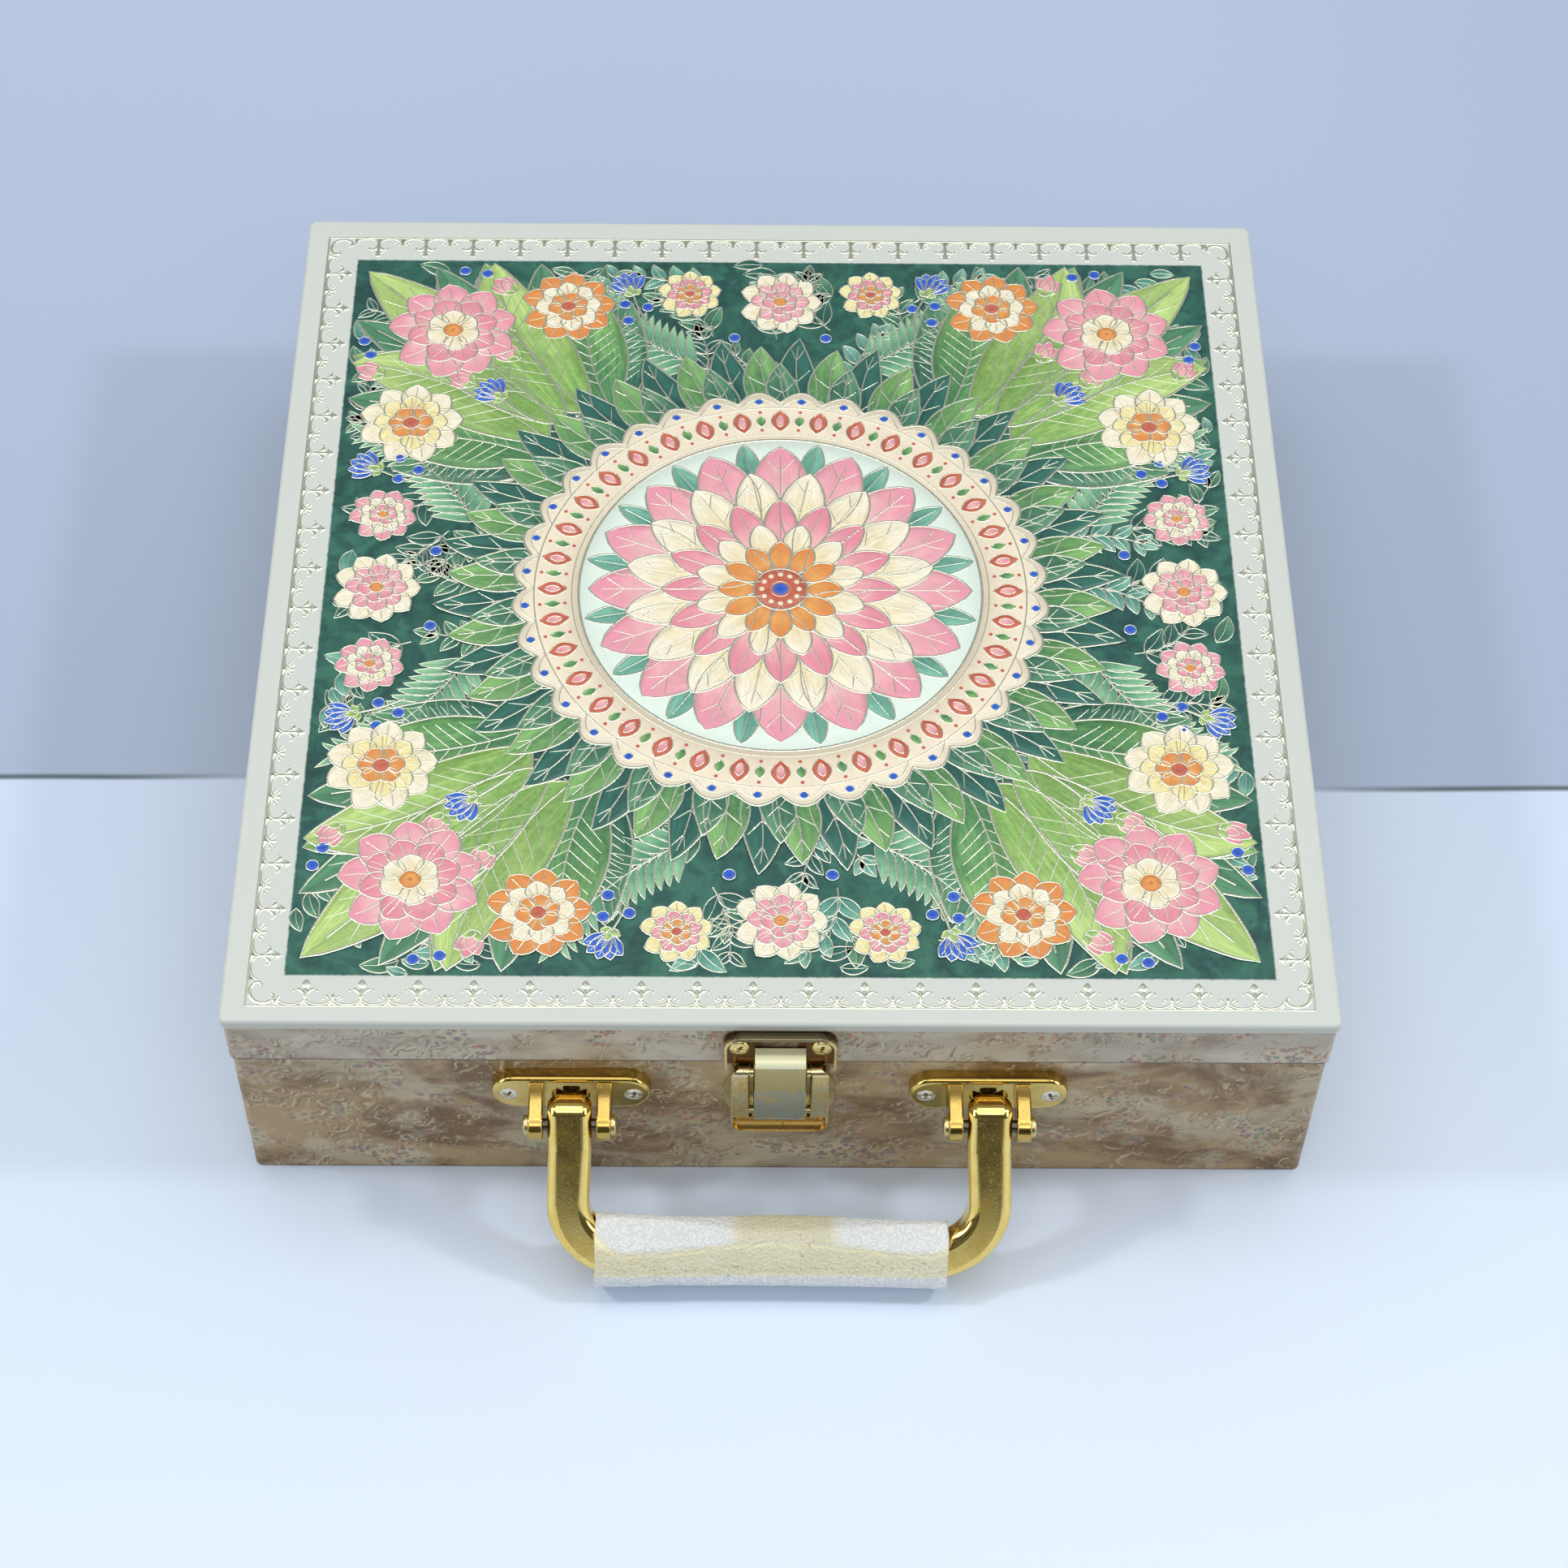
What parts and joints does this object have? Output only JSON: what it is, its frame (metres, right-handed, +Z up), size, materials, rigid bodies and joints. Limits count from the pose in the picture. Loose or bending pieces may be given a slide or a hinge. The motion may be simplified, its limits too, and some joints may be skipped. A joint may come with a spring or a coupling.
{
  "type": "hinged gift box for sweets",
  "caption": "Square flat gift box for sweets with a hinged printed lid, slotted card dividers, a cast bail handle in a foam sleeve and a brass draw latch.",
  "frame": {"origin": "middle of the box's underside", "axes": "+Z up through the lid, -Y towards the front with the handle and the latch, +X to the right seen from the front"},
  "size_m": [0.254, 0.296, 0.066],
  "materials": {
    "fibre_board": "sanded fibre board, bare",
    "printed_paper": "satin printed paper",
    "top_sheet": "satin laminated print with raised foil",
    "lining_paper": "matt cream paper",
    "divider_card": "matt card",
    "hinge_brass": "plated, satin",
    "hinge_steel": "drawn",
    "handle_gold": "polished gold plating on a zinc casting",
    "screw_nickel": "nickel plated",
    "pin_steel": "dull",
    "packing_foam": "thin cellular packing foam",
    "latch_brass": "plated, satin, worn",
    "latch_worn": "plating worn through by fingers"
  },
  "bodies": {
    "tray": {"base_board": "fibre_board", "front_wall_board": "fibre_board", "back_wall_board": "fibre_board", "left_wall_board": "fibre_board", "right_wall_board": "fibre_board", "body_wrap_paper": "printed_paper", "body_lining": "lining_paper", "base_lining_card": "lining_paper", "divider_front": "divider_card", "divider_back": "divider_card", "divider_left": "divider_card", "divider_right": "divider_card", "hinge_left_body_leaf": "hinge_brass", "hinge_right_body_leaf": "hinge_brass", "hinge_left_pin": "hinge_steel", "hinge_right_pin": "hinge_steel", "hinge_body_screws": "hinge_brass", "handle_left_bracket": "handle_gold", "handle_right_bracket": "handle_gold", "handle_bracket_screws": "screw_nickel", "handle_left_pin": "pin_steel", "handle_right_pin": "pin_steel", "latch_base_plate": "latch_brass", "latch_base_screws": "latch_brass", "latch_pivot_stubs": "latch_brass"},
    "lid": {"lid_top_board": "fibre_board", "lid_top_sheet": "top_sheet", "lid_front_board": "fibre_board", "lid_back_board": "fibre_board", "lid_left_board": "fibre_board", "lid_right_board": "fibre_board", "lid_side_paper": "printed_paper", "lid_lining": "lining_paper", "hinge_left_lid_leaf": "hinge_brass", "hinge_right_lid_leaf": "hinge_brass", "hinge_lid_screws": "hinge_brass", "latch_catch_plate": "latch_brass", "latch_catch_screws": "latch_brass"},
    "handle": {"handle_bail": "handle_gold", "handle_foam_sleeve": "packing_foam"},
    "latch_lever": {"latch_lever": "latch_brass", "latch_link_pin": "latch_brass"},
    "latch_tongue": {"latch_link": "latch_worn", "latch_tongue": "latch_brass"}
  },
  "joints": [
    {"name": "lid_turn", "type": "hinge", "parent": "tray", "child": "lid", "pos_m": [0, 0.1295, 0.0491], "axis": [-1, 0, 0], "range_deg": [0, 180]},
    {"name": "handle_swing", "type": "hinge", "parent": "tray", "child": "handle", "pos_m": [0, -0.1385, 0.039], "axis": [-1, 0, 0], "range_deg": [-34, 158]},
    {"name": "latch_lift", "type": "hinge", "parent": "tray", "child": "latch_lever", "pos_m": [0, -0.1296, 0.0481], "axis": [-1, 0, 0], "range_deg": [0, 110]},
    {"name": "tongue_lean", "type": "hinge", "parent": "latch_lever", "child": "latch_tongue", "pos_m": [0, -0.1303, 0.0323], "axis": [-1, 0, 0], "range_deg": [-126.5, 0]}
  ],
  "couplings": [
    {"joint": "tongue_lean", "follows": "latch_lift", "ratio": -1.15}
  ]
}
